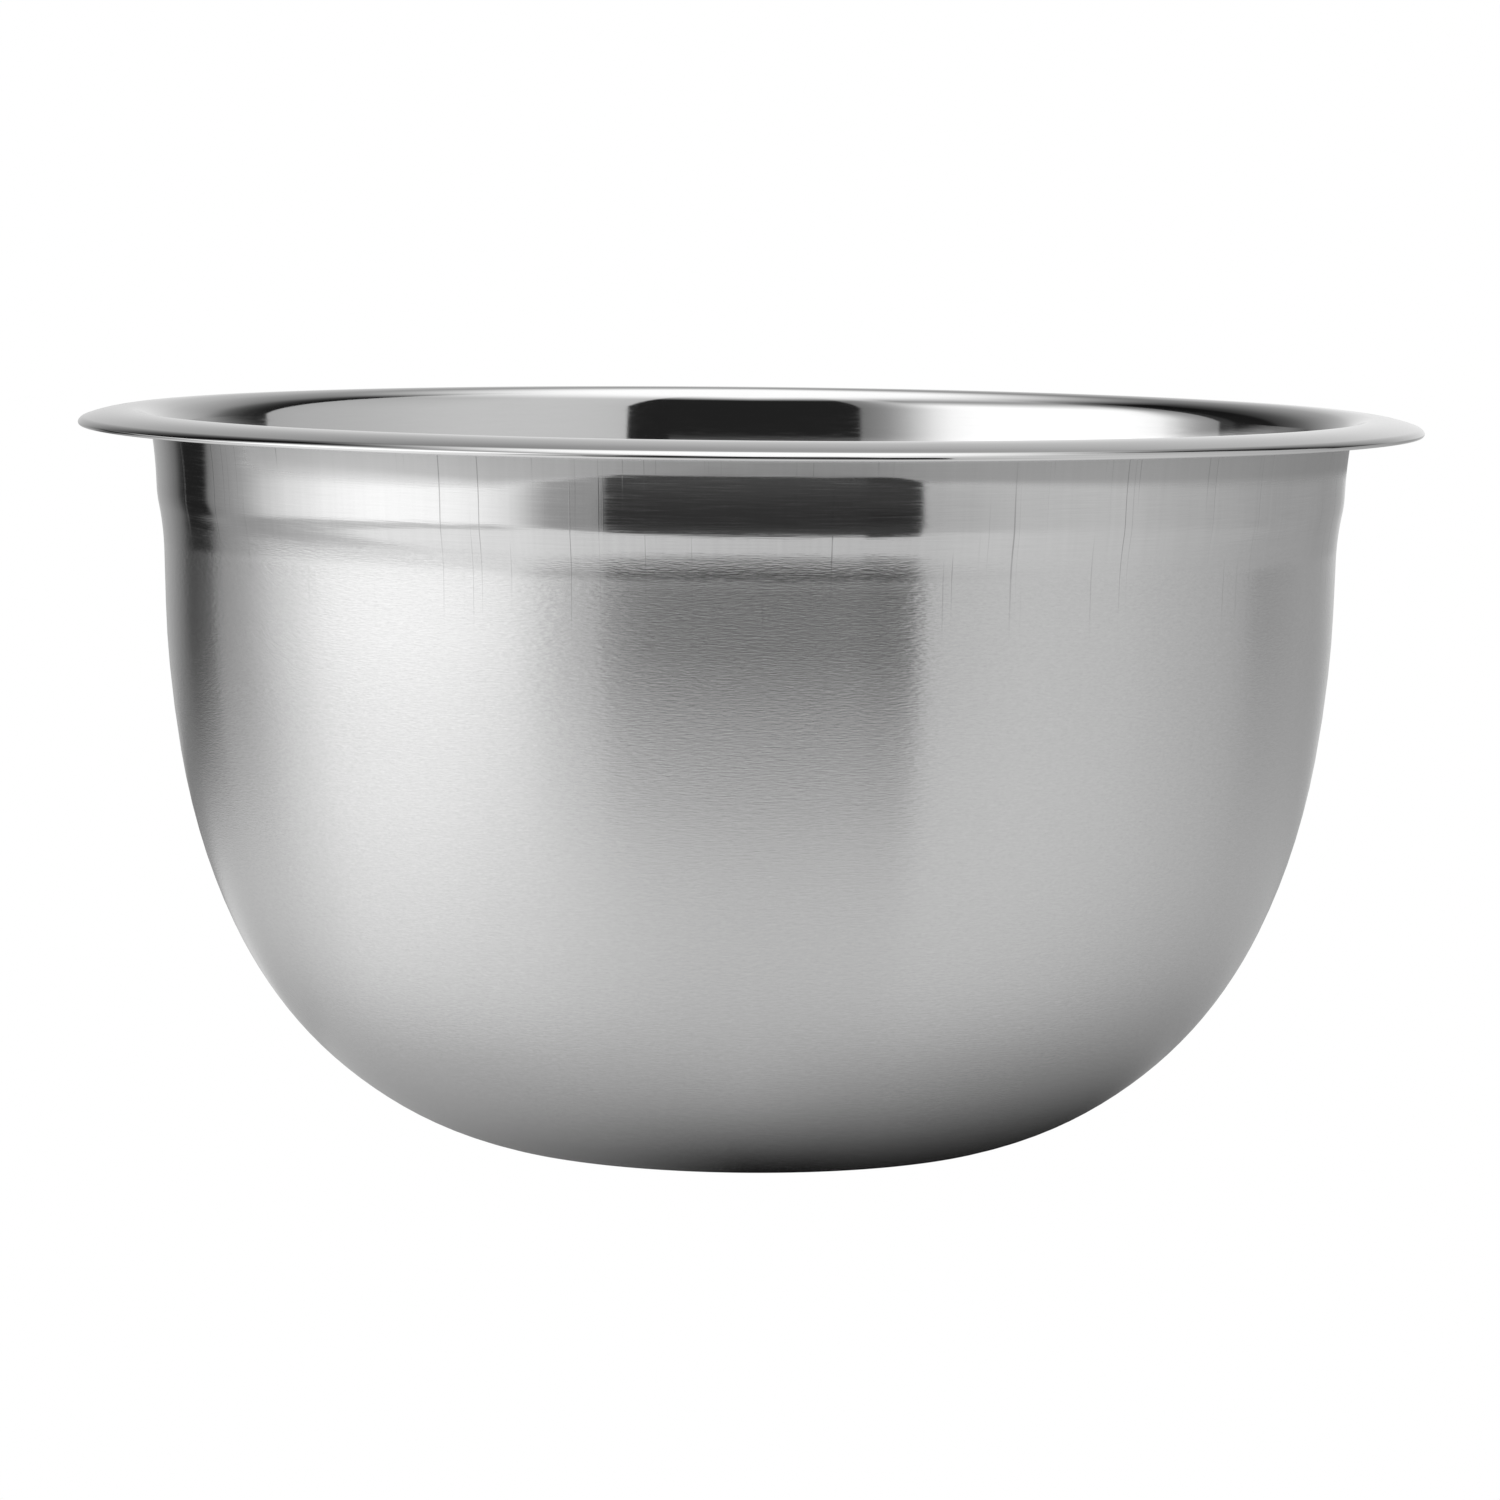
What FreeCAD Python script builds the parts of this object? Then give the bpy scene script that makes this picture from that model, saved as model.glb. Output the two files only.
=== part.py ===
import FreeCAD, Part
import Sketcher
import math
import os

# Free-standing mixing bowl, drawn from one disc of sheet of a single gauge.
#
# Millimetres, +Z up, origin at the centre of the flat base. The bowl is a body
# of revolution about Z and rests on the plane Z = 0.
#
# From the bench up: flat base, knuckle, round belly of tangent arcs, nearly
# upright wall, outward step, short band with a flared top, bell mouth,
# drooping flange, tighter lip, and the edge folded back under the flange.

doc = FreeCAD.newDocument("mixing_bowl")

# --------------------------------------------------------------------------
# Driving dimensions: lengths in mm, slopes in degrees from the horizontal
# --------------------------------------------------------------------------
SIZES = [
    # alias, value, meaning
    ("rim_diameter", 272.0, "largest diameter, over the hemmed edge"),
    ("bowl_height", 147.6, "bench to the highest circle of the rim"),
    ("gauge", 0.5, "sheet thickness, the same everywhere"),
    ("base_radius", 51.4, "flat disc the bowl rests on"),
    ("knuckle_radius", 16.3, "outside bend from the base into the belly"),
    ("knuckle_slope", 15.8, "wall slope where the knuckle ends, degrees"),
    ("belly_radius_a", 69.2, "outside radius of belly arc a"),
    ("belly_slope_a", 31.0, "wall slope where arc a ends, degrees"),
    ("belly_radius_b", 82.3, "outside radius of belly arc b"),
    ("belly_slope_b", 42.0, "wall slope where arc b ends, degrees"),
    ("belly_radius_c", 77.5, "outside radius of belly arc c"),
    ("belly_slope_c", 54.0, "wall slope where arc c ends, degrees"),
    ("belly_radius_d", 88.5, "outside radius of belly arc d"),
    ("belly_slope_d", 65.0, "wall slope where arc d ends, degrees"),
    ("belly_radius_e", 125.3, "outside radius of belly arc e"),
    ("belly_slope_e", 74.0, "wall slope where arc e ends, degrees"),
    ("belly_radius_f", 147.7, "outside radius of belly arc f"),
    ("belly_slope_f", 80.5, "wall slope where arc f ends, degrees"),
    ("belly_radius_g", 246.6, "outside radius of belly arc g"),
    ("belly_slope_g", 84.5, "wall slope where arc g ends, degrees"),
    ("belly_radius_i", 190.0, "outside radius of the last belly arc"),
    ("wall_slope", 88.35, "slope of the upper wall, degrees"),
    ("wall_length", 10.5, "straight run of the upper wall"),
    ("step_radius_low", 54.0, "outside radius of the lower bend of the step"),
    ("step_slope", 78.8, "slope in the middle of the step, degrees"),
    ("step_radius_high", 22.4, "outside radius of the upper bend of the step"),
    ("band_slope", 87.25, "slope at the foot of the band, degrees"),
    ("band_top_radius", 90.0, "outside radius of the band's flare"),
    ("band_top_slope", 81.0, "slope at the top of the band, degrees"),
    ("mouth_radius", 5.1, "upper-surface radius of the bell mouth"),
    ("flange_radius", 26.4, "upper-surface radius of the drooping flange"),
    ("flange_droop", 20.0, "slope of the flange at its outer end, degrees"),
    ("lip_radius", 2.0, "upper-surface radius of the lip at the flange's end"),
    ("lip_slope", 58.0, "slope of the lip where the fold begins, degrees"),
    ("hem_radius", 0.6, "outside radius of the folded edge"),
    ("hem_turn", 180.0, "how far the edge is folded back, degrees"),
    ("hem_back", 4.4, "how far the fold follows the flange, degrees"),
    ("hem_return", 0.8, "straight end of the fold under the flange"),
]
sheet = doc.addObject("Spreadsheet::Sheet", "Sizes")
sheet.Label = "Sizes"
for row, (alias, value, note) in enumerate(SIZES, start=1):
    sheet.set("A%d" % row, alias)
    sheet.set("B%d" % row, repr(float(value)))
    sheet.set("C%d" % row, note)
    sheet.setAlias("B%d" % row, alias)
doc.recompute()


def size(alias):
    return float(sheet.get(alias))


# --------------------------------------------------------------------------
# Sheet section: a chain of tangent pieces, followed along the outside surface
# --------------------------------------------------------------------------
gauge = size("gauge")
hem_start_slope = -size("lip_slope")
hem_end_slope = hem_start_slope - size("hem_turn")
fold_slope = -size("flange_droop") - size("hem_turn")
fold_end_slope = fold_slope + size("hem_back")


def folded_radius(alias):
    # the fold keeps the gap left by the hem's own inside radius
    return size(alias) + gauge - 2.0 * size("hem_radius")


# A turn of +1 bends the sheet towards its inside surface, -1 away from it, and
# 0 is a straight run. The last column says how far an arc turns, in degrees.
LINE = (0, None)
CHAIN = [
    # name, turn, radius of the outside surface, slope at the end, turn expression
    ("base", *LINE, 0.0, None),
    ("knuckle", 1, size("knuckle_radius"), size("knuckle_slope"), "Sizes.knuckle_slope"),
]
previous_slope = "knuckle_slope"
for letter in "abcdefgi":
    # the last belly arc ends at the slope of the upper wall
    end_alias = "wall_slope" if letter == "i" else "belly_slope_" + letter
    CHAIN.append(("belly_" + letter, 1, size("belly_radius_" + letter), size(end_alias),
                  "Sizes.%s - Sizes.%s" % (end_alias, previous_slope)))
    previous_slope = end_alias
CHAIN += [
    ("wall", *LINE, size("wall_slope"), None),
    ("step_low", -1, size("step_radius_low"), size("step_slope"),
     "Sizes.wall_slope - Sizes.step_slope"),
    ("step_mid", *LINE, size("step_slope"), None),
    ("step_high", 1, size("step_radius_high"), size("band_slope"),
     "Sizes.band_slope - Sizes.step_slope"),
    ("band", *LINE, size("band_slope"), None),
    ("band_top", -1, size("band_top_radius"), size("band_top_slope"),
     "Sizes.band_slope - Sizes.band_top_slope"),
    ("mouth", -1, size("mouth_radius") - gauge, 0.0, "Sizes.band_top_slope"),
    ("flange", -1, size("flange_radius") - gauge, -size("flange_droop"),
     "Sizes.flange_droop"),
    ("lip", -1, size("lip_radius") - gauge, hem_start_slope,
     "Sizes.lip_slope - Sizes.flange_droop"),
    ("hem", -1, size("hem_radius") - gauge, hem_end_slope, "Sizes.hem_turn"),
    # the fold runs back under the lip and the flange, parallel to them
    ("hem_lip", 1, folded_radius("lip_radius"), fold_slope,
     "Sizes.lip_slope - Sizes.flange_droop"),
    ("hem_back", 1, folded_radius("flange_radius"), fold_end_slope, "Sizes.hem_back"),
    ("hem_return", *LINE, fold_end_slope, None),
]
# Straight runs; close_chain works out the two that are 0.0 here.
lengths = {
    "base": size("base_radius"),
    "wall": size("wall_length"),
    "step_mid": 0.0,
    "band": 0.0,
    "hem_return": size("hem_return"),
}


def heading(slope):
    # unit vector (radius, height) along the direction of travel
    angle = math.radians(slope)
    return (math.cos(angle), math.sin(angle))


def side(slope):
    # unit vector from the outside surface towards the inside surface
    angle = math.radians(slope)
    return (-math.sin(angle), math.cos(angle))


def shift(point, distance, direction):
    return (point[0] + distance * direction[0], point[1] + distance * direction[1])


def arc_centre(start, turn, radius, start_slope):
    return shift(start, turn * radius, side(start_slope))


def piece_end(start, name, turn, radius, start_slope, end_slope):
    if turn == 0:
        return shift(start, lengths[name], heading(end_slope))
    centre = arc_centre(start, turn, radius, start_slope)
    return shift(centre, -turn * radius, side(end_slope))


def close_chain():
    """Size the step's middle and the band's foot so the crest lands in place."""
    sin_droop = math.sin(math.radians(size("flange_droop")))
    sin_lip = math.sin(math.radians(size("lip_slope")))
    crest_radius = (size("rim_diameter") / 2.0
                    - size("hem_radius") * (1.0 - sin_lip)
                    - size("lip_radius") * (sin_lip - sin_droop)
                    - size("flange_radius") * sin_droop)
    point, slope = (0.0, 0.0), 0.0
    for name, turn, radius, end_slope, _ in CHAIN:
        point = piece_end(point, name, turn, radius, slope, end_slope)
        slope = end_slope
        if name == "mouth":
            break
    missing_radius = crest_radius - point[0]
    missing_height = size("bowl_height") - gauge - point[1]

    step, band = heading(size("step_slope")), heading(size("band_slope"))
    determinant = step[0] * band[1] - band[0] * step[1]
    lengths["step_mid"] = (missing_radius * band[1] - band[0] * missing_height) / determinant
    lengths["band"] = (step[0] * missing_height - missing_radius * step[1]) / determinant
    if lengths["step_mid"] < 0.2 or lengths["band"] < 0.5:
        raise RuntimeError("the sizes leave no room for the step or the band: %s" % lengths)


close_chain()

# --------------------------------------------------------------------------
# Sketch geometry: both surfaces of the sheet, piece by piece
# --------------------------------------------------------------------------
body = doc.addObject("PartDesign::Body", "Bowl_Shell")
body.Label = "bowl_shell"

xz_plane = [f for f in body.Origin.OriginFeatures if f.Role == "XZ_Plane"][0]
sketch = body.newObject("Sketcher::SketchObject", "Sheet_Section")
sketch.Label = "sheet_section"
sketch.AttachmentSupport = [(xz_plane, "")]
sketch.MapMode = "FlatFace"

# Sketcher's numbers for the points of an element, and for the sketch origin
START, END, CENTRE = 1, 2, 3
ORIGIN = (-1, 1)


def add_line(start, end):
    return sketch.addGeometry(
        Part.LineSegment(FreeCAD.Vector(*start, 0.0), FreeCAD.Vector(*end, 0.0)), False)


def add_arc(centre, radius, first, last):
    # counter-clockwise between two angles in degrees
    circle = Part.Circle(FreeCAD.Vector(*centre, 0.0), FreeCAD.Vector(0, 0, 1), radius)
    return sketch.addGeometry(
        Part.ArcOfCircle(circle, math.radians(first), math.radians(last)), False)


def draw_piece(start, end, turn, radius, start_slope, end_slope):
    """Return the outside and inside elements, each as (id, near end, far end)."""
    if turn == 0:
        across = side(end_slope)
        outside = add_line(start, end)
        inside = add_line(shift(start, gauge, across), shift(end, gauge, across))
        ends = (START, END)
    else:
        centre = arc_centre(start, turn, radius, start_slope)
        angles = (start_slope - turn * 90.0, end_slope - turn * 90.0)
        ends = (START, END)
        if turn < 0:
            # clockwise travel: the arc's own start is its far end
            angles, ends = angles[::-1], ends[::-1]
        outside = add_arc(centre, radius, *angles)
        inside = add_arc(centre, radius - turn * gauge, *angles)
    return (outside, *ends), (inside, *ends)


outer, inner = {}, {}
turned = {}
point, slope = (0.0, 0.0), 0.0
for name, turn, radius, end_slope, _ in CHAIN:
    end = piece_end(point, name, turn, radius, slope, end_slope)
    outer[name], inner[name] = draw_piece(point, end, turn, radius, slope, end_slope)
    turned[name] = abs(end_slope - slope)
    point, slope = end, end_slope

end_cap = add_line(point, shift(point, gauge, side(slope)))
axis_edge = add_line((0.0, gauge), (0.0, 0.0))

# --------------------------------------------------------------------------
# Sketch constraints
# --------------------------------------------------------------------------
names = [piece[0] for piece in CHAIN]
arcs = [(name, expression) for name, turn, _, _, expression in CHAIN if turn != 0]


def constrain(*arguments):
    return sketch.addConstraint(Sketcher.Constraint(*arguments))


def bind(name, expression, *arguments):
    sketch.renameConstraint(constrain(*arguments), name)
    sketch.setExpression("Constraints." + name, expression)


# The chain starts on the axis, at the bench.
base_outer, base_inner = outer["base"][0], inner["base"][0]
constrain("Coincident", base_outer, START, *ORIGIN)
constrain("Horizontal", base_outer)
constrain("Coincident", axis_edge, END, base_outer, START)
constrain("Coincident", axis_edge, START, base_inner, START)
constrain("Vertical", axis_edge)
constrain("Horizontal", base_inner)
bind("sheet_gauge", "Sizes.gauge", "DistanceY", axis_edge, END, axis_edge, START, gauge)

# Neighbours are tangent on both surfaces; both surfaces of an arc share a centre.
for name, following in zip(names[:-1], names[1:]):
    for surface in (outer, inner):
        near_id, _, near_end = surface[name]
        next_id, next_start, _ = surface[following]
        constrain("Tangent", near_id, near_end, next_id, next_start)
for name, _ in arcs:
    constrain("Coincident", outer[name][0], CENTRE, inner[name][0], CENTRE)

# The cut edge is square to the sheet.
last_outer, last_inner = outer[names[-1]], inner[names[-1]]
constrain("Coincident", end_cap, START, last_outer[0], last_outer[2])
constrain("Coincident", end_cap, END, last_inner[0], last_inner[2])
constrain("Perpendicular", end_cap, last_outer[0])

# Radii of the outside surface, then those of the rim's upper surface.
OUTSIDE_RADII = (
    [("knuckle", "knuckle_radius")]
    + [("belly_" + letter, "belly_radius_" + letter) for letter in "abcdefgi"]
    + [("step_low", "step_radius_low"), ("step_high", "step_radius_high"),
       ("band_top", "band_top_radius")])
UPPER_RADII = [(name, name + "_radius") for name in ("mouth", "flange", "lip", "hem")]
for surface, radii in ((outer, OUTSIDE_RADII), (inner, UPPER_RADII)):
    for name, alias in radii:
        bind(alias, "Sizes." + alias, "Radius", surface[name][0], size(alias))

# The fold keeps one distance from the lip and from the flange.
for name, alias in (("hem_lip", "lip_radius"), ("hem_back", "flange_radius")):
    bind(name + "_radius", "Sizes.%s + Sizes.gauge - 2 * Sizes.hem_radius" % alias,
         "Radius", outer[name][0], folded_radius(alias))

for name, expression in arcs:
    bind("turn_" + name, "(%s) * 1 deg" % expression,
         "Angle", outer[name][0], math.radians(turned[name]))

# Straight runs: parallel surfaces, and the lengths that are given.
for name in ("wall", "step_mid", "band", "hem_return"):
    constrain("Parallel", outer[name][0], inner[name][0])
bind("base_radius", "Sizes.base_radius",
     "DistanceX", *ORIGIN, base_outer, END, size("base_radius"))
bind("wall_length", "Sizes.wall_length",
     "Distance", outer["wall"][0], size("wall_length"))
bind("hem_return_length", "Sizes.hem_return",
     "Distance", outer["hem_return"][0], size("hem_return"))

# Overall size: the hem's outermost circle and the crest of the rim.
bind("rim_reach", "Sizes.rim_diameter / 2 - Sizes.hem_radius",
     "DistanceX", *ORIGIN, inner["hem"][0], CENTRE,
     size("rim_diameter") / 2.0 - size("hem_radius"))
bind("crest_height", "Sizes.bowl_height",
     "DistanceY", *ORIGIN, inner["mouth"][0], inner["mouth"][2], size("bowl_height"))

solved = sketch.solve()
if solved != 0:
    raise RuntimeError("sheet_section does not solve: %s" % solved)
doc.recompute()

# --------------------------------------------------------------------------
# The pressing: the section revolved once about Z
# --------------------------------------------------------------------------
pressing = body.newObject("PartDesign::Revolution", "Drawn_Sheet")
pressing.Label = "drawn_sheet"
pressing.Profile = sketch
pressing.ReferenceAxis = (sketch, ["V_Axis"])
pressing.Angle = 360.0
body.Tip = pressing
sketch.Visibility = False
doc.recompute()

# --------------------------------------------------------------------------
# Validation and export
# --------------------------------------------------------------------------
failed = [o.Label for o in doc.Objects
          if any(word in o.State for word in ("Invalid", "Error"))]
if failed:
    raise RuntimeError("not recomputed cleanly: %s" % failed)

shape = body.Shape
if shape.isNull() or not shape.isValid():
    raise RuntimeError("bad shape: " + body.Label)
if len(shape.Solids) != 1:
    raise RuntimeError("%s holds %d solids" % (body.Label, len(shape.Solids)))

# The solid must have the overall size that the spreadsheet asks for.
SIZE_TOLERANCE = 0.02
box = shape.optimalBoundingBox(False)
rim_radius = size("rim_diameter") / 2.0
for got, want in ((box.XMin, -rim_radius), (box.XMax, rim_radius),
                  (box.YMin, -rim_radius), (box.YMax, rim_radius),
                  (box.ZMin, 0.0), (box.ZMax, size("bowl_height"))):
    if abs(got - want) > SIZE_TOLERANCE:
        raise RuntimeError("overall size is off: %.3f, wanted %.3f" % (got, want))

os.makedirs("parts", exist_ok=True)
shape.exportStep(os.path.join("parts", body.Label + ".step"))
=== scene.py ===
"""A stainless steel bowl, pressed from thin sheet and hemmed at the rim.

The bowl stands upright on z = 0 with its axis on z.  The lens looks along +y from
the -y side, so +x is on its right.  The section is drawn in millimetres and the
meshes are in metres.
"""

import math

import bpy
from mathutils import Matrix, Vector


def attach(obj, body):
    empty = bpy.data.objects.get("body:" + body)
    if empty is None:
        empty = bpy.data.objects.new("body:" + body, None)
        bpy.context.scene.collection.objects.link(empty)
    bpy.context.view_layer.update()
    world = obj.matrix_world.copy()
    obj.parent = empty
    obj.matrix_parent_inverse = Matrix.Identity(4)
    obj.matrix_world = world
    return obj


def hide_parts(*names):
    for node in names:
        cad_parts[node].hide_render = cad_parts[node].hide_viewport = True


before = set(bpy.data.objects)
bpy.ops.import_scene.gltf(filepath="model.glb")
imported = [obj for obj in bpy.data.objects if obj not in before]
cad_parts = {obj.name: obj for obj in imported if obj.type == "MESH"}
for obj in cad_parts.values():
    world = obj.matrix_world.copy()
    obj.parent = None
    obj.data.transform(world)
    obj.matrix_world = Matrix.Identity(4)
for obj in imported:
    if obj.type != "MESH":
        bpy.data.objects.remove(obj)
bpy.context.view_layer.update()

MM = 0.001
DEGREES = 57.29578            # in one radian
RADIANS = 0.0174533           # in one degree

# ---------------------------------------------------------------------------
# The sheet's section, in mm and degrees
# ---------------------------------------------------------------------------
GAUGE = 0.5
RIM_RADIUS = 136.0            # at the widest point of the hem
BOWL_HEIGHT = 147.6
STEP_SLOPE = 78.8
BAND_SLOPE = 87.25
WALL_SLOPE = 88.35
DROOP = 20.0                  # how far the flange has turned down at its end
LIP_DROOP = 58.0              # and the lip after it
BACK_SLOPE = -195.6
FLANGE_RADIUS, LIP_RADIUS, HEM_RADIUS = 25.9, 1.5, 0.1

# A chain of tangent pieces along the outside surface, from the axis to the hem's end:
# (name, turn, size, slope at the end).
# turn +1: an arc centred on the inside of the bowl, -1: on the outside, 0: a line.
# size is the radius of an arc or the length of a line; None is fitted below.
PIECES = [
    ("base", 0, 51.4, 0.0),
    ("knuckle", 1, 16.3, 15.8),
    ("belly", 1, 69.2, 31.0),
    ("belly", 1, 82.3, 42.0),
    ("belly", 1, 77.5, 54.0),
    ("belly", 1, 88.5, 65.0),
    ("belly", 1, 125.3, 74.0),
    ("belly", 1, 147.7, 80.5),
    ("belly", 1, 246.6, 84.5),
    ("belly", 1, 190.0, WALL_SLOPE),
    ("wall", 0, 10.5, WALL_SLOPE),
    ("step_low", -1, 54.0, STEP_SLOPE),
    ("step_mid", 0, None, STEP_SLOPE),
    ("step_high", 1, 22.4, BAND_SLOPE),
    ("band", 0, None, BAND_SLOPE),
    ("band_top", -1, 90.0, 81.0),
    ("mouth", -1, 4.6, 0.0),
    ("flange", -1, FLANGE_RADIUS, -DROOP),
    ("lip", -1, LIP_RADIUS, -LIP_DROOP),
    ("hem", -1, HEM_RADIUS, -LIP_DROOP - 180.0),
    ("hem_lip", 1, 1.3, -200.0),
    ("hem_back", 1, 25.7, BACK_SLOPE),
    ("return", 0, 0.8, BACK_SLOPE),
]

# rows of vertices: degrees per row on an arc, fractions of the length on a line
ARC_STEP = {"knuckle": 2.6, "belly": 2.6, "step_low": 1.4, "step_high": 1.4,
            "band_top": 1.1, "mouth": 5.0, "flange": 2.5, "lip": 4.0, "hem": 12.0,
            "hem_lip": 7.0, "hem_back": 2.4}
LINE_ROWS = {"base": [0.05, 0.2, 0.42, 0.66, 0.86, 1.0], "wall": [0.33, 0.67, 1.0],
             "step_mid": [1.0], "band": [0.5, 1.0], "return": [1.0]}
SEGMENTS = 320                # around the axis


def heading(slope):
    """Unit direction (radial, up) along the section."""
    angle = math.radians(slope)
    return math.cos(angle), math.sin(angle)


def inward(slope):
    """Unit normal (radial, up) from the outside surface to the inside one."""
    angle = math.radians(slope)
    return -math.sin(angle), math.cos(angle)


def advance(turn, size, start, end, fraction=1.0):
    """Radial move, upward move and slope after a fraction of a piece."""
    slope = start + (end - start) * fraction
    if turn:
        before, after = inward(start), inward(slope)
        reach = turn * size
        return reach * (before[0] - after[0]), reach * (before[1] - after[1]), slope
    along = heading(slope)
    return size * fraction * along[0], size * fraction * along[1], slope


def fit_lines():
    """Lengths of the two free lines that bring the mouth's end to the crest."""
    sin_droop = math.sin(math.radians(DROOP))
    sin_lip = math.sin(math.radians(LIP_DROOP))
    crest_radius = (RIM_RADIUS - (HEM_RADIUS + GAUGE) * (1.0 - sin_lip)
                    - (LIP_RADIUS + GAUGE) * (sin_lip - sin_droop)
                    - (FLANGE_RADIUS + GAUGE) * sin_droop)
    radius = height = slope = 0.0
    for name, turn, size, end in PIECES:
        out, up, slope = advance(turn, size or 0.0, slope, end)
        radius += out
        height += up
        if name == "mouth":
            break
    need_out = crest_radius - radius
    need_up = BOWL_HEIGHT - GAUGE - height
    step, band = heading(STEP_SLOPE), heading(BAND_SLOPE)
    det = step[0] * band[1] - band[0] * step[1]
    return {"step_mid": (need_out * band[1] - band[0] * need_up) / det,
            "band": (step[0] * need_up - need_out * step[1]) / det}


def outside_rows():
    """Rows (radius, height, slope, piece name) on the outside surface."""
    fitted = fit_lines()
    rows = []
    radius = height = slope = 0.0
    for name, turn, size, end in PIECES:
        if size is None:
            size = fitted[name]
        if turn:
            count = max(2, int(math.ceil(abs(end - slope) / ARC_STEP[name])))
            fractions = [i / count for i in range(1, count + 1)]
        else:
            fractions = LINE_ROWS[name]
        for fraction in fractions:
            out, up, row_slope = advance(turn, size, slope, end, fraction)
            rows.append((radius + out, height + up, row_slope, name))
        out, up, slope = advance(turn, size, slope, end)
        radius, height = radius + out, height + up
    return rows


def add_object(name, data):
    obj = bpy.data.objects.new(name, data)
    bpy.context.scene.collection.objects.link(obj)
    return obj


# ---------------------------------------------------------------------------
# The bowl: outside surface from the axis out, the sheared edge at the hem's end,
# then the inside surface back to the axis
# ---------------------------------------------------------------------------
OUTSIDE, INSIDE = 0, 1        # material slots


def turned(radial, up, angle):
    return radial * math.cos(angle), radial * math.sin(angle), up


def build_bowl():
    outer = outside_rows()
    out_rows, in_rows = [], []    # (radius, height, normal, distance along the section)
    run, last = 0.0, (0.0, 0.0)
    for radius, height, slope, _ in outer:
        run += math.hypot(radius - last[0], height - last[1])
        last = (radius, height)
        side = inward(slope)
        out_rows.append((radius, height, (-side[0], -side[1]), run))
        in_rows.append((radius + GAUGE * side[0], height + GAUGE * side[1], side, run))
    rows = out_rows + in_rows[::-1]

    angles = [2.0 * math.pi * j / SEGMENTS for j in range(SEGMENTS)]
    verts, normals, runs = [], [], []
    for radius, height, normal, run in rows:
        for angle in angles:
            verts.append(turned(radius * MM, height * MM, angle))
            normals.append(turned(*normal, angle))
            runs.append(run * MM)
    bottom, top = len(verts), len(verts) + 1
    verts += [(0.0, 0.0, 0.0), (0.0, 0.0, GAUGE * MM)]
    normals += [(0, 0, -1), (0, 0, 1)]
    runs += [0.0, 0.0]

    # the outside finish ends inside the mouth's curve, behind the flange
    mirror_from = next(i for i, row in enumerate(outer) if row[3] == "flange")
    cut_row = len(outer) - 1
    last_ring = (len(rows) - 1) * SEGMENTS
    faces, slots, on_cut = [], [], []
    for j in range(SEGMENTS):
        j_next = (j + 1) % SEGMENTS
        faces += [(bottom, j_next, j), (top, last_ring + j, last_ring + j_next)]
        slots += [OUTSIDE, INSIDE]
        on_cut += [False, False]
    for k in range(len(rows) - 1):
        ring, above = k * SEGMENTS, (k + 1) * SEGMENTS
        for j in range(SEGMENTS):
            j_next = (j + 1) % SEGMENTS
            faces.append((ring + j, ring + j_next, above + j_next, above + j))
            slots.append(OUTSIDE if k < mirror_from else INSIDE)
            on_cut.append(k == cut_row)

    mesh = bpy.data.meshes.new("bowl_body")
    mesh.from_pydata(verts, [], faces)
    mesh.update()
    for poly, slot in zip(mesh.polygons, slots):
        poly.use_smooth = True
        poly.material_index = slot

    # exact normals of the turned surface; the sheared edge keeps its own
    cut_normal = heading(outer[-1][2])
    corner_normals = []
    for face, cut in zip(faces, on_cut):
        for index in face:
            if cut:
                corner_normals.append(turned(*cut_normal, angles[index % SEGMENTS]))
            else:
                corner_normals.append(normals[index])
    mesh.normals_split_custom_set(corner_normals)
    attribute = mesh.attributes.new("run", "FLOAT", "POINT")
    attribute.data.foreach_set("value", runs)
    mesh.update()
    return add_object("bowl_body", mesh)


# ---------------------------------------------------------------------------
# Node helpers
# ---------------------------------------------------------------------------
class Value:
    """An output of a node; arithmetic on it adds Math nodes."""

    def __init__(self, graph, socket):
        self.graph = graph
        self.socket = socket

    def math(self, operation, *others):
        return self.graph.math(operation, self, *others)

    def __add__(self, other):
        return self.math("ADD", other)

    def __radd__(self, other):
        return self.graph.math("ADD", other, self)

    def __sub__(self, other):
        return self.math("SUBTRACT", other)

    def __rsub__(self, other):
        return self.graph.math("SUBTRACT", other, self)

    def __mul__(self, other):
        return self.math("MULTIPLY", other)

    def __truediv__(self, other):
        return self.math("DIVIDE", other)

    def swing(self, amount):
        """A 0 to 1 noise as a change of half the amount either way."""
        return (self - 0.5) * amount

    def ramp(self, start, end, low=0.0, high=1.0, smooth=True):
        """From low at start to high at end, and level beyond them."""
        return self.graph.add(
            "ShaderNodeMapRange", "Result",
            {"Value": self, "From Min": start, "From Max": end, "To Min": low, "To Max": high},
            interpolation_type="SMOOTHSTEP" if smooth else "LINEAR", clamp=True)

    def window(self, start, end, soft_start, soft_end):
        """1 between start and end, with soft ends of the given full widths."""
        up = self.ramp(start - soft_start / 2.0, start + soft_start / 2.0)
        down = self.ramp(end - soft_end / 2.0, end + soft_end / 2.0, low=1.0, high=0.0)
        return up * down

    def mix(self, at_zero, at_one):
        """Blend two values, with this one as the factor."""
        return self.graph.add("ShaderNodeMix", 0, {0: self, 2: at_zero, 3: at_one},
                              data_type="FLOAT", clamp_factor=True)

    def curve(self, points, top):
        """A smooth curve through (input, output) points; top scales the outputs."""
        low, high = points[0][0], points[-1][0]
        result = self.graph.add("ShaderNodeFloatCurve", 0,
                                {"Value": self.ramp(low, high, smooth=False)})
        mapping = result.socket.node.mapping
        curve = mapping.curves[0]
        places = [((x - low) / (high - low), y / top) for x, y in points]
        curve.points[0].location = places[0]
        curve.points[1].location = places[-1]
        for place in places[1:-1]:
            curve.points.new(*place)
        for point in curve.points:
            point.handle_type = "AUTO_CLAMPED"
        mapping.update()
        return result * top


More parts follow.
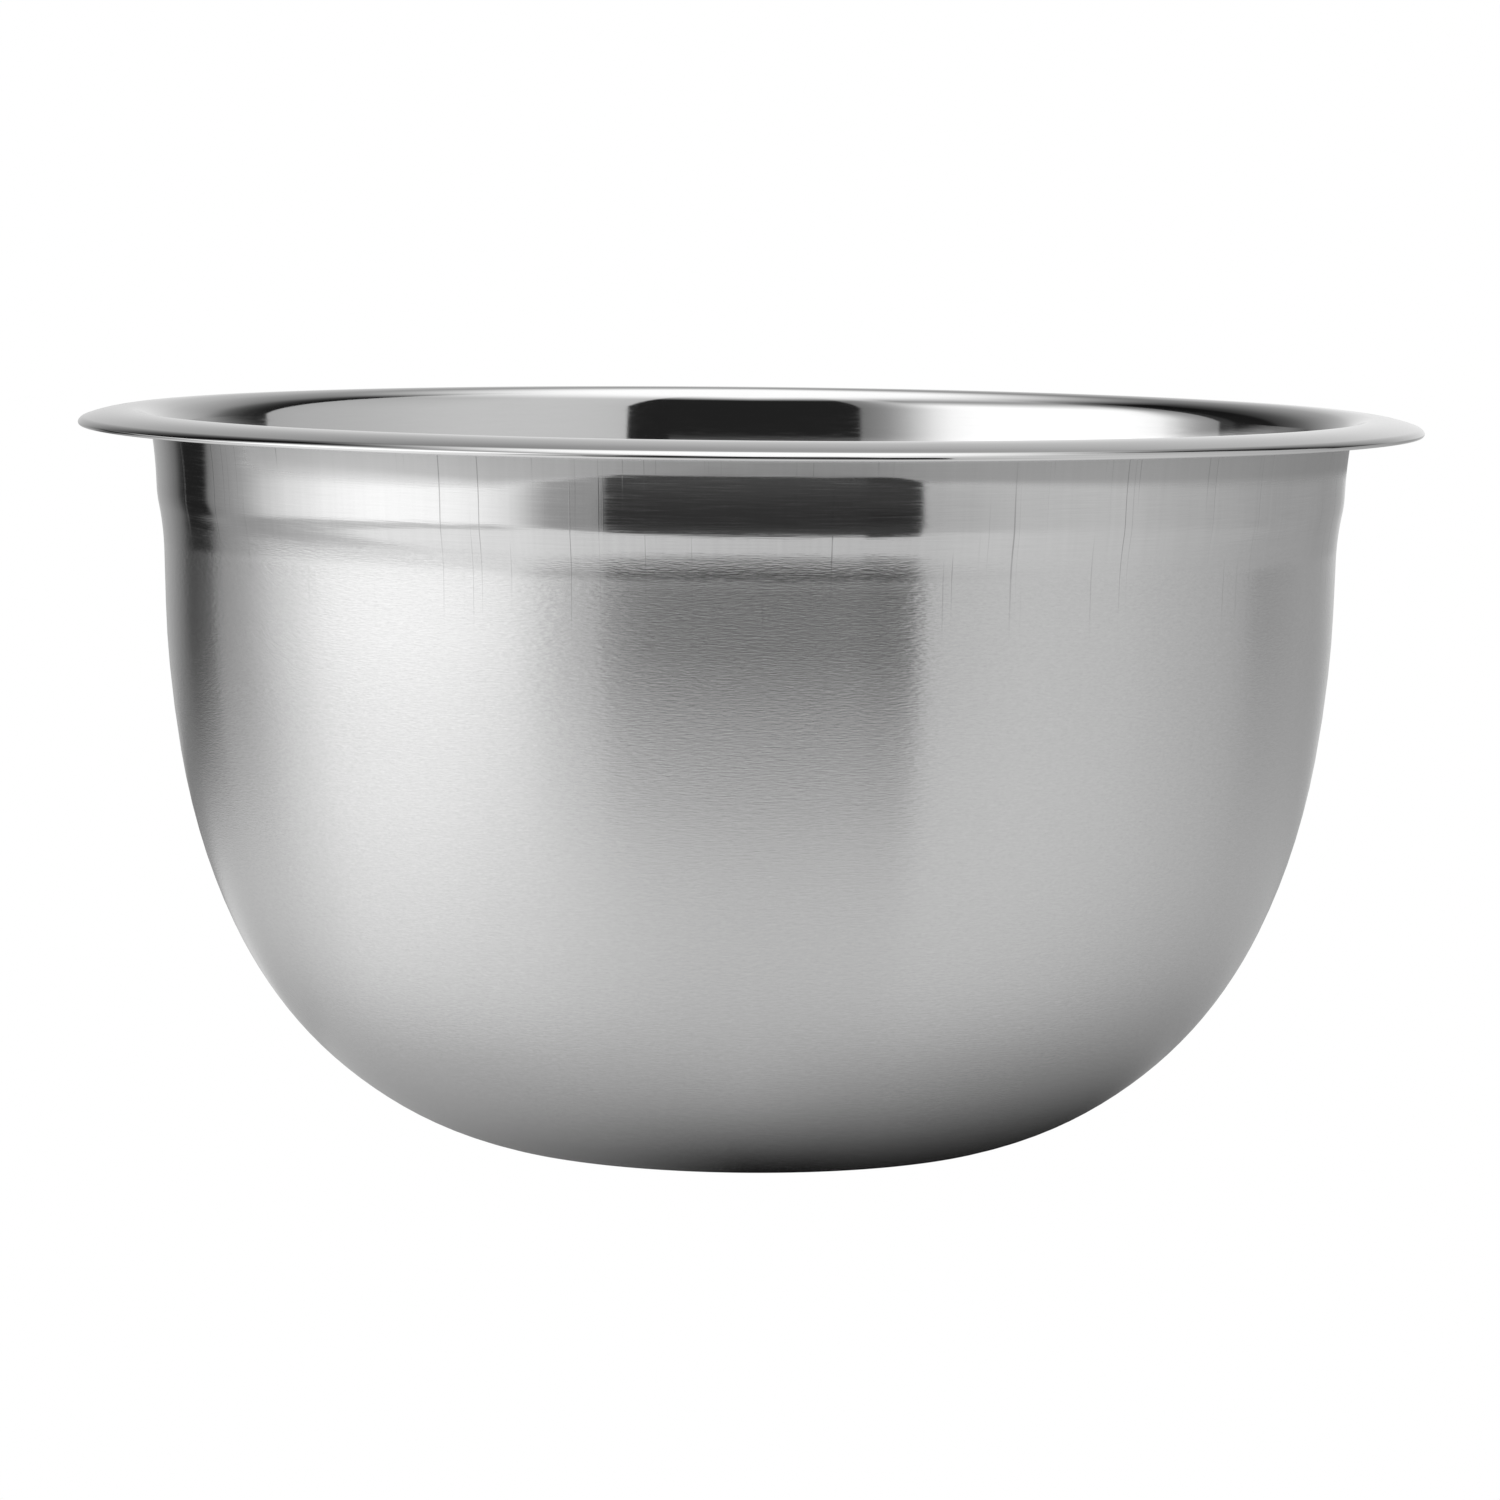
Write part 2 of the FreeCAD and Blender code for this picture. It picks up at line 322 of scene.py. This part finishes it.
class Graph:
    """The emptied node tree of a material or a world."""

    def __init__(self, owner):
        owner.use_nodes = True
        self.tree = owner.node_tree
        self.tree.nodes.clear()

    def node(self, kind, inputs, **props):
        node = self.tree.nodes.new(kind)
        for name, value in props.items():
            setattr(node, name, value)
        for key, value in inputs.items():
            if isinstance(value, Value):
                self.tree.links.new(value.socket, node.inputs[key])
            else:
                node.inputs[key].default_value = value
        return node

    def add(self, kind, output=0, inputs={}, **props):
        return Value(self, self.node(kind, inputs, **props).outputs[output])

    def math(self, operation, *operands):
        return self.add("ShaderNodeMath", 0, dict(enumerate(operands)), operation=operation)

    def xyz(self, kind, output):
        """The three parts of a node's vector output."""
        parts = self.node("ShaderNodeSeparateXYZ", {0: self.add(kind, output)})
        return [Value(self, parts.outputs[i]) for i in range(3)]

    def noise(self, plane, run=0.0, around=1.0, along=None, detail=2.0, roughness=0.5):
        """Noise with its own scales around the turn and along the section."""
        place = self.add("ShaderNodeCombineXYZ", 0, {
            0: plane[0] * around, 1: plane[1] * around, 2: run * along if along else run})
        return self.add("ShaderNodeTexNoise", 0, {
            "Vector": place, "Scale": 1.0, "Detail": detail, "Roughness": roughness})

    def grey(self, value):
        return self.add("ShaderNodeCombineColor", 0, {0: value, 1: value, 2: value})

    def camera_ray(self):
        return self.add("ShaderNodeLightPath", "Is Camera Ray")

    def bump(self, height, strength, distance):
        return self.add("ShaderNodeBump", 0, {
            "Strength": strength, "Distance": distance, "Height": height})

    def emission(self, brightness):
        return self.add("ShaderNodeEmission", 0, {"Color": self.grey(brightness)})

    def finish(self, shader, kind="ShaderNodeOutputMaterial"):
        self.node(kind, {"Surface": shader})


def new_material(name):
    material = bpy.data.materials.new(name)
    return material, Graph(material)


# ---------------------------------------------------------------------------
# Stainless sheet, outside: circumferential brushing up to the step, and a
# polished band above it that keeps faint upright draw lines from the press
# ---------------------------------------------------------------------------
def steel_outside():
    material, graph = new_material("stainless_brushed_outside")
    x, y, z = graph.xyz("ShaderNodeTexCoord", "Object")
    run = graph.add("ShaderNodeAttribute", "Fac", attribute_name="run")
    height_mm = z * 1000.0

    # brushed grain: short strokes along the turn, finer across it
    grain = graph.noise((x, y), run, around=1250.0, along=3800.0, detail=1.0)
    strokes = graph.noise((x, y), run, around=560.0, along=3500.0, detail=1.0)
    cloud = graph.noise((x, y), run, around=14.0, along=60.0)
    streak = graph.noise((x, y), run, around=90.0, along=4200.0, roughness=0.6)

    # a few hair-thin upright draw lines, placed by the direction from the axis
    reach = (x * x + y * y).math("SQRT").math("MAXIMUM", 0.001)
    rightward = x / reach
    facing = (rightward, y / reach)
    line = graph.noise(facing, run, around=230.0, along=12.0, detail=1.0)
    where = graph.noise(facing, run, around=13.0, along=30.0, detail=1.0)
    hair = line.ramp(start=0.63, end=0.73) * where.ramp(start=0.42, end=0.58)
    faint = graph.noise(facing, run, around=85.0, along=25.0)

    # heights in mm: the brushing fades out in two stages, a little unevenly
    wobble = graph.noise((x, y), around=30.0).swing(0.9)
    brush_edge = height_mm + wobble + strokes.swing(2.4)
    brushed = (brush_edge.ramp(start=127.2, end=124.6, high=0.52)
               + brush_edge.ramp(start=122.7, end=120.6, high=0.48))
    lines_on = height_mm.ramp(start=108.0, end=121.0)

    # above the band, under the mouth, the sheet is unpolished and painted shade darkens this
    # strip, more at the sides; the limits in mm shift towards the right and in two stretches
    # towards the left
    right = rightward.ramp(start=0.20, end=0.30) * rightward
    left = rightward.ramp(start=-0.20, end=-0.40, smooth=False)
    far_left = rightward.ramp(start=-0.40, end=-0.75, smooth=False)
    rough_shade_from = 140.4 - right * 1.6 - (left * 3.2 + far_left * 1.8)
    rough_shade_full = 141.2 + right * 1.4 + (far_left * 2.2 - left * 1.6)
    rough_shade_edge = height_mm + wobble * 0.33 + right * 3.6
    rough_shade_strip = (rough_shade_edge.ramp(start=rough_shade_from, end=rough_shade_full)
            * rightward.ramp(start=-0.84, end=-0.76))

    # roughness: a base for each finish, and how far each texture moves it
    rough_brush = 0.25 + grain.swing(0.05) + cloud.swing(0.02)
    rough_band = 0.065 + streak.ramp(start=0.42, end=0.72) * 0.065 + hair * 0.12
    rough_dull = 0.46 + streak.swing(0.2)
    rough = rough_shade_strip.mix(brushed.mix(rough_band, rough_brush), rough_dull)
    anisotropy = rough_shade_strip.mix(brushed.mix(0.35, 1.0), 0.2)    # band, brushed; dull

    # grey level: it varies with the grain, is darker on draw lines, and is darkened by painted
    # shade on the unpolished strip under the mouth
    grey_brush = 0.65 + grain.swing(0.10) + strokes.swing(0.06) + cloud.swing(0.02)
    grey_band = 0.63 + streak.swing(0.09) + faint.swing(0.06)
    grey = brushed.mix(grey_band, grey_brush)
    # painted shade: the unpolished strip under the mouth is darkened, less in front than at
    # the sides
    painted_shade_loss = rightward.math("ABSOLUTE").ramp(start=0.22, end=0.42, low=0.11, high=0.22)
    grey = grey * (1.0 - rough_shade_strip * painted_shade_loss)
    grey = grey * (1.0 - hair * lines_on * brushed.mix(0.36, 0.20))

    # relief: strokes with a little grain where brushed, weak streaks in the band
    relief = (brushed * (strokes + grain * 0.2)
              + (1.0 - brushed) * ((streak + hair) * 0.17))

    graph.finish(graph.add("ShaderNodeBsdfPrincipled", 0, {
        "Base Color": graph.grey(grey),
        "Metallic": 1.0,
        "Roughness": rough,
        "Anisotropic": anisotropy,
        "Anisotropic Rotation": 0.25,
        "Tangent": graph.add("ShaderNodeTangent", direction_type="RADIAL", axis="Z"),
        "Normal": graph.bump(relief, strength=0.38, distance=0.0001),
    }))
    return material


# Mirror finish: the inside, the flange and the hem
def steel_inside():
    material, graph = new_material("stainless_mirror_inside")
    x, y, _ = graph.xyz("ShaderNodeTexCoord", "Object")
    run = graph.add("ShaderNodeAttribute", "Fac", attribute_name="run")
    fine = graph.noise((x, y), run, around=120.0, along=1800.0, roughness=0.6)
    soft = graph.noise((x, y), run, around=22.0, along=22.0)
    # base roughness, roughened by fine rings and clouded a little
    rough = 0.055 + fine.ramp(start=0.45, end=0.8) * 0.05 + soft.swing(0.02)
    grey = 0.66 + fine.swing(0.03)
    graph.finish(graph.add("ShaderNodeBsdfPrincipled", 0, {
        "Base Color": graph.grey(grey),
        "Metallic": 1.0,
        "Roughness": rough,
        "Normal": graph.bump(fine, strength=0.05, distance=0.00003),
    }))
    return material


# ---------------------------------------------------------------------------
# Studio: a white sweep, one tall soft light on the left, a paler wall on the
# right, a dark card round the lens, two dark cards towards the back, and a
# large soft light overhead.  The outside of the bowl sees the cards' lower
# ends, the inside sees them from above the rim, so each has its own edges.
# Azimuth is in degrees, 0 towards the lens and positive to the right.
# ---------------------------------------------------------------------------
# (azimuth, brightness) above the horizon; the back's azimuth runs from 0 to 360
UPPER_LEFT = [
    (-113, 0.28), (-105, 0.42), (-100, 0.62), (-94, 1.10), (-88, 1.46), (-78, 1.56),
    (-50, 1.55), (-44, 1.46), (-40, 1.28), (-35, 0.88), (-30, 0.50), (-26, 0.33),
    (-22, 0.26), (26, 0.25)]
UPPER_RIGHT = [
    (24, 0.72), (35, 0.78), (55, 0.80), (68, 0.77), (80, 0.71), (92, 0.66), (105, 0.61),
    (115, 0.55)]
UPPER_BACK = [
    (114, 0.02), (120, 0.04), (125, 0.09), (130, 0.18), (135, 0.35), (140, 0.52),
    (150, 0.69), (160, 0.80), (172, 0.88), (180, 0.85), (190, 0.65), (200, 0.50),
    (210, 0.33), (220, 0.16), (229, 0.07), (234, 0.02), (245, 0.02), (248, 0.06),
    (252, 0.06)]
# (elevation, share of the back's brightness)
BACK_FADE = [(0, 1.0), (10, 0.90), (19, 0.76), (29, 0.66), (39, 0.52), (60, 0.5)]
# (azimuth, brightness) below the horizon
LOWER_LEFT = [
    (-180, 0.85), (-166, 0.48), (-156, 0.38), (-146, 0.20), (-138, 0.02), (-130, 0.02),
    (-127, 0.26), (-115, 0.48), (-105, 0.88), (-94, 1.20), (-84, 1.40), (-73, 1.50),
    (-61, 1.44), (-52, 1.29), (-47, 1.10), (-43, 0.80), (-40, 0.58), (-37, 0.44),
    (-32, 0.40), (-27, 0.40), (34, 0.40)]
LOWER_RIGHT = [
    (31, 0.60), (38, 0.62), (46, 0.66), (56, 0.73), (73, 0.73), (84, 0.66), (105, 0.56),
    (118, 0.49), (135, 0.45), (148, 0.40), (157, 0.43), (167, 0.62), (180, 0.85)]
# (azimuth, added brightness) in the gap between the cards
GAP = [
    (-142, 0.05), (-128, 0.30), (-117, 0.54), (-104, 0.76), (-92, 0.72), (-78, 0.42),
    (-55, 0.32), (-40, 0.22), (-26, 0.27), (-10, 0.21), (10, 0.19), (24, 0.16),
    (34, 0.02)]
CARD_DARK_ABOVE, CARD_DARK_BELOW = 0.022, 0.045    # the card round the lens
OVERHEAD_BRIGHTNESS = 1.5


def studio_world():
    world = bpy.data.worlds.new("soft_studio")
    bpy.context.scene.world = world
    graph = Graph(world)
    x, y, z = graph.xyz("ShaderNodeTexCoord", "Generated")
    azimuth = x.math("ARCTAN2", y * -1.0) * DEGREES
    elevation = z.math("ARCSINE") * DEGREES
    back_azimuth = azimuth.math("FLOORED_MODULO", 360.0)    # 180 is straight back
    cosine = (azimuth / DEGREES).math("COSINE")
    sine = (azimuth / DEGREES).math("SINE")

    # above the horizon; the left light's lower part is even, its top fades out
    left = azimuth.ramp(start=-22.9, end=-22.1).mix(
        azimuth.curve(UPPER_LEFT, top=2.0), CARD_DARK_ABOVE)
    left = left * azimuth.ramp(start=-30.0, end=-40.0).mix(
        1.0, elevation.ramp(start=29.0, end=56.0, low=1.0, high=0.28))
    right = azimuth.curve(UPPER_RIGHT, top=1.0)
    back = back_azimuth.curve(UPPER_BACK, top=1.0) * elevation.curve(BACK_FADE, top=1.0)
    upper = azimuth.window(start=25.2, end=200.0, soft_start=1.0, soft_end=1.0).mix(
        left, right)
    upper = back_azimuth.window(start=114.0, end=251.5, soft_start=0.8, soft_end=0.8).mix(
        upper, back)

    # below the horizon, as far down as the floor's edge
    left = azimuth.ramp(start=-28.2, end=-27.4).mix(
        azimuth.curve(LOWER_LEFT, top=2.0), CARD_DARK_BELOW)
    right = azimuth.curve(LOWER_RIGHT, top=1.0)
    lower = azimuth.window(start=32.5, end=200.0, soft_start=0.9, soft_end=1.0).mix(
        left, right)
    lower = lower + elevation.ramp(start=-9.0, end=-19.0, high=0.045)

    # the elevation at which they meet is lower towards the back
    meeting = azimuth.math("ABSOLUTE").ramp(start=140.0, end=160.0, low=4.5, high=-1.5)
    light = (elevation - meeting).ramp(start=-2.5, end=2.5).mix(lower, upper)

    # a gap between the cards at lens height, which only the brushed wall picks up
    gap_area = (azimuth.window(start=-142.0, end=34.0, soft_start=4.0, soft_end=4.0)
                * elevation.window(start=-1.5, end=6.0, soft_start=3.0, soft_end=3.0))
    light = light + azimuth.curve(GAP, top=1.0) * gap_area

    # the overhead light's edge, in degrees of elevation, is highest at the sides
    # and lowest behind the bowl
    overhead_edge = 55.5 + cosine * 3.0 + sine.math("ABSOLUTE") * 9.5
    overhead = (elevation - overhead_edge).ramp(start=-14.0, end=14.0)
    light = overhead.mix(light, OVERHEAD_BRIGHTNESS)
    light = graph.camera_ray().mix(light, 1.0)
    background = graph.add("ShaderNodeBackground", 0, {
        "Color": graph.grey(light), "Strength": 1.0})
    graph.finish(background, "ShaderNodeOutputWorld")


# The floor's mesh: radii of its rings in metres, and its sides
FLOOR_RINGS = [0.08, 0.2, 0.45, 1.0, 3.0, 12.0]
FLOOR_SIDES = 96
FLOOR_DROP = 0.0004

# painted shadow: the bowl's shadow on the floor, darkest under its foot, is painted into these
# brightnesses
# brightness of the floor near the bowl: radius in mm, then in front, left, right
FLOOR_NEAR = [
    (0, 0.01, 0.06, 0.005), (50, 0.01, 0.20, 0.005), (62, 0.03, 0.29, 0.01),
    (73, 0.18, 0.40, 0.042), (86, 0.43, 0.47, 0.15), (100, 0.60, 0.54, 0.275),
    (115, 0.67, 0.56, 0.37)]
# painted light and shade: brighter on the large light's side, dimmer on the right and behind
# further out: azimuth, then the brightness at four growing radii
FLOOR_AROUND = [
    (-180, 0.42, 0.50, 0.58, 0.55), (-140, 0.46, 0.56, 0.80, 0.78),
    (-120, 0.47, 0.53, 0.67, 0.79), (-100, 0.48, 0.62, 0.77, 0.85),
    (-80, 0.61, 0.82, 0.93, 1.04), (-60, 0.74, 0.95, 1.05, 1.15),
    (-40, 0.77, 0.92, 0.96, 1.02), (-20, 0.73, 0.85, 0.88, 0.91),
    (0, 0.68, 0.79, 0.81, 0.83), (20, 0.67, 0.79, 0.80, 0.81),
    (40, 0.585, 0.76, 0.79, 0.82), (60, 0.46, 0.66, 0.74, 0.785),
    (80, 0.36, 0.54, 0.64, 0.69), (100, 0.31, 0.45, 0.56, 0.61),
    (120, 0.29, 0.37, 0.50, 0.56), (140, 0.30, 0.33, 0.45, 0.52),
    (180, 0.42, 0.50, 0.58, 0.55)]
# (azimuth, brightness) furthest out
FLOOR_FAR = [
    (-180, 0.55), (-158, 0.50), (-142, 0.36), (-130, 0.46), (-118, 0.56), (-108, 0.62),
    (-98, 0.73), (-87, 0.95), (-66, 1.18), (-44, 1.09), (-22, 0.84), (0, 0.76),
    (22, 0.735), (44, 0.81), (66, 0.76), (87, 0.64), (108, 0.55), (128, 0.49),
    (150, 0.43), (180, 0.50)]
# how each column of FLOOR_AROUND gives way to what lies beyond it:
# (column, start and end of the blend in mm, smooth)
FLOOR_BLENDS = [(4, 262.0, 360.0, True), (3, 180.0, 262.0, True),
                (2, 143.0, 180.0, False), (1, 113.0, 143.0, False)]


def column(table, index):
    return [(row[0], row[index]) for row in table]


def floor_mesh():
    verts = [(0, 0, 0)]
    for radius in FLOOR_RINGS:
        for j in range(FLOOR_SIDES):
            verts.append(turned(radius, 0.0, 2 * math.pi * j / FLOOR_SIDES))
    faces = [(0, 1 + j, 1 + (j + 1) % FLOOR_SIDES) for j in range(FLOOR_SIDES)]
    for k in range(len(FLOOR_RINGS) - 1):
        ring, beyond = 1 + k * FLOOR_SIDES, 1 + (k + 1) * FLOOR_SIDES
        for j in range(FLOOR_SIDES):
            j_next = (j + 1) % FLOOR_SIDES
            faces.append((ring + j, beyond + j, beyond + j_next, ring + j_next))
    mesh = bpy.data.meshes.new("floor")
    mesh.from_pydata(verts, [], faces)
    mesh.update()
    return mesh


def floor_material():
    """How bright the sweep is, as the bowl sees it: dark where the bowl shades it,
    and brighter on the side of the large light."""
    material, graph = new_material("pale_floor_with_painted_shade")
    x, y, _ = graph.xyz("ShaderNodeNewGeometry", "Position")
    radius = (x * x + y * y).math("SQRT") * 1000.0    # mm
    azimuth = x.math("ARCTAN2", y * -1.0) * DEGREES
    angle = azimuth * RADIANS
    is_left = (angle.math("SINE") * -1.0).math("MAXIMUM", 0.0)
    is_right = angle.math("SINE").math("MAXIMUM", 0.0)
    # painted shadow and light: the floor is an emission, with the bowl's shadow and the large
    # light's brighter side painted into it
    front, left, right = [radius.curve(column(FLOOR_NEAR, i), top=1.2) for i in (1, 2, 3)]
    near = is_right.mix(is_left.mix(front, left), right)

    seen = azimuth.curve(FLOOR_FAR, top=1.4)
    for index, start, end, smooth in FLOOR_BLENDS:
        around = azimuth.curve(column(FLOOR_AROUND, index), top=1.4)
        seen = radius.ramp(start, end, smooth=smooth).mix(around, seen)
    seen = radius.ramp(start=102.0, end=115.0).mix(near, seen)

    # painted shade: the floor is darker towards the card that stands behind on the left
    card_shade = (radius.ramp(start=380.0, end=560.0, high=0.5)
                  * azimuth.window(start=-158.0, end=-122.0, soft_start=16.0, soft_end=16.0))
    seen = seen * (1.0 - card_shade)
    # painted shade: a greyer strip in front of the large light's lower end
    strip_start = azimuth.ramp(start=-50.0, end=-85.0, low=520.0, high=440.0)
    strip = ((radius - strip_start).ramp(start=-20.0, end=20.0)
             * azimuth.ramp(start=-36.0, end=-46.0))
    seen = seen * (1.0 - strip * 0.34)

    # the floor ends at the dark card's straight foot in front, and at the
    # lights and the walls elsewhere
    in_front = azimuth.window(start=-36.0, end=36.0, soft_start=12.0, soft_end=6.0)
    ahead = y * -1000.0
    on_left = azimuth.ramp(start=-36.0, end=-46.0)
    keep = radius.ramp(start=on_left.mix(545.0, 575.0), end=on_left.mix(590.0, 720.0),
                       low=1.0, high=0.0)
    keep = in_front.mix(keep, ahead.ramp(start=446.0, end=488.0, low=1.0, high=0.0))

    # what the lens sees is plain white, without a shadow
    camera_ray = graph.camera_ray()
    graph.finish(graph.add("ShaderNodeMixShader", 0, {
        0: camera_ray.math("MAXIMUM", keep),
        1: graph.add("ShaderNodeBsdfTransparent"),
        2: graph.emission(camera_ray.mix(seen, 1.0)),
    }))
    return material


def studio_floor():
    obj = add_object("floor", floor_mesh())
    obj.location = (0.0, 0.0, -FLOOR_DROP)
    obj.data.materials.append(floor_material())


# The right-hand end of the dark card round the lens, at its real distance, so
# that the near and the far side of the bowl each see its edge in place
CARD_LEFT, CARD_RIGHT = 0.150, 0.2363
CARD_Y = -0.435
CARD_HEIGHT = 0.42
# (height in metres, brightness)
CARD_GLOW = [
    (0.060, 0.062), (0.068, 0.055), (0.076, 0.043), (0.084, 0.030), (0.095, 0.025),
    (0.160, 0.025), (0.200, 0.021)]


def studio_card():
    mesh = bpy.data.meshes.new("dark_card")
    mesh.from_pydata([(CARD_LEFT, CARD_Y, 0.0), (CARD_RIGHT, CARD_Y, 0.0),
                      (CARD_RIGHT, CARD_Y, CARD_HEIGHT), (CARD_LEFT, CARD_Y, CARD_HEIGHT)],
                     [], [(0, 1, 2, 3)])
    mesh.update()
    obj = add_object("dark_card", mesh)
    obj.visible_camera = False
    material, graph = new_material("dark_card")
    height = graph.xyz("ShaderNodeNewGeometry", "Position")[2]
    graph.finish(graph.emission(height.curve(CARD_GLOW, top=0.1)))
    obj.data.materials.append(material)


# ---------------------------------------------------------------------------
# Camera
# ---------------------------------------------------------------------------
CAMERA_DISTANCE = 9.0         # in front of the axis, in rim radii
CAMERA_HEIGHT = 1.4713        # above the bowl's foot, in rim radii
CAMERA_YAW, CAMERA_PITCH, CAMERA_ROLL = 0.017, 5.678, 0.55    # degrees; pitch is down


def add_camera():
    data = bpy.data.cameras.new("camera")
    data.sensor_fit = "HORIZONTAL"
    data.sensor_width = 36.0
    data.lens = 144.5304
    data.clip_start = 0.05
    data.clip_end = 60.0
    obj = add_object("camera", data)
    yaw, pitch, roll = map(math.radians, (CAMERA_YAW, CAMERA_PITCH, CAMERA_ROLL))
    forward = Vector((math.sin(yaw) * math.cos(pitch), math.cos(yaw) * math.cos(pitch),
                      -math.sin(pitch)))
    level = Vector((math.cos(yaw), -math.sin(yaw), 0.0))
    upright = level.cross(forward)
    right = math.cos(roll) * level + math.sin(roll) * upright
    up = -math.sin(roll) * level + math.cos(roll) * upright
    matrix = Matrix((right, up, -forward)).transposed().to_4x4()
    rim = RIM_RADIUS * MM
    matrix.translation = (0.0, -CAMERA_DISTANCE * rim, CAMERA_HEIGHT * rim)
    obj.matrix_world = matrix
    bpy.context.scene.camera = obj


bowl = build_bowl()
bowl.data.materials.append(steel_outside())
bowl.data.materials.append(steel_inside())
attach(bowl, "root")
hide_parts("bowl_shell")

studio_world()
studio_floor()
studio_card()
add_camera()

view = bpy.context.scene.view_settings
view.view_transform = "Standard"
view.look = "None"
view.exposure = 0.0
view.gamma = 1.0
